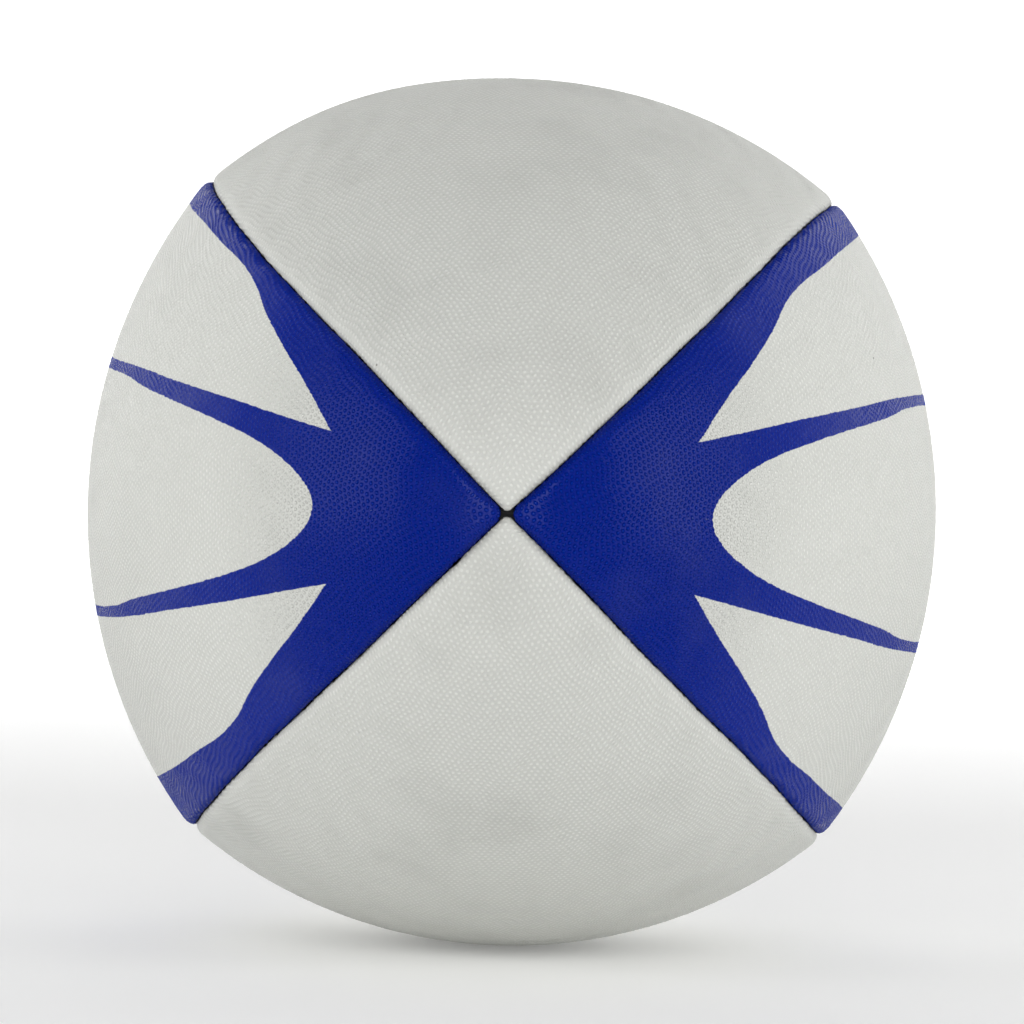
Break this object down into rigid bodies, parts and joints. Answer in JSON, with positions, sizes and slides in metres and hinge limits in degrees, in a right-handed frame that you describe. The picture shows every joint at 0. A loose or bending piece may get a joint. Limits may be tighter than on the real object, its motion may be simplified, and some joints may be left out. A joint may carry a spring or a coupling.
{
  "type": "rugby ball",
  "caption": "Oval ball of stitched dimpled rubber panels on woven plies, with an inflated bladder inside and a needle valve in one panel.",
  "frame": {"origin": "middle of the ball, on its long axis", "axes": "+Y along the long axis from tip to tip, +Z out through the middle of the panel that carries the valve, +X out through the middle of a printed panel"},
  "size_m": [0.1726, 0.275, 0.1763],
  "materials": {
    "white_rubber": "moulded, matt, fine pimples",
    "printed_rubber": "moulded, fine pimples, printed royal blue on off-white",
    "ply_cloth": "rubberised plain weave",
    "thread": "waxed twisted polyester",
    "bladder_rubber": "smooth latex or butyl, satin",
    "patch_cloth": "rubberised canvas",
    "valve_rubber": "moulded, smooth",
    "plug_rubber": "moulded, satin"
  },
  "bodies": {
    "ball": {"skin_right": "printed_rubber", "skin_top": "white_rubber", "skin_left": "printed_rubber", "skin_bottom": "white_rubber", "outer_ply_right": "ply_cloth", "outer_ply_top": "ply_cloth", "outer_ply_left": "ply_cloth", "outer_ply_bottom": "ply_cloth", "middle_ply_right": "ply_cloth", "middle_ply_top": "ply_cloth", "middle_ply_left": "ply_cloth", "middle_ply_bottom": "ply_cloth", "inner_ply_right": "ply_cloth", "inner_ply_top": "ply_cloth", "inner_ply_left": "ply_cloth", "inner_ply_bottom": "ply_cloth", "seam_thread_top_right": "thread", "seam_thread_top_left": "thread", "seam_thread_bottom_left": "thread", "seam_thread_bottom_right": "thread", "bladder": "bladder_rubber", "valve_patch": "patch_cloth", "valve_housing": "valve_rubber"},
    "plug": {"valve_plug": "plug_rubber"}
  },
  "joints": [
    {"name": "valve_plug_pull", "type": "slide", "parent": "ball", "child": "plug", "axis": [0, 0, 1], "range_m": [0, 0.03]}
  ]
}
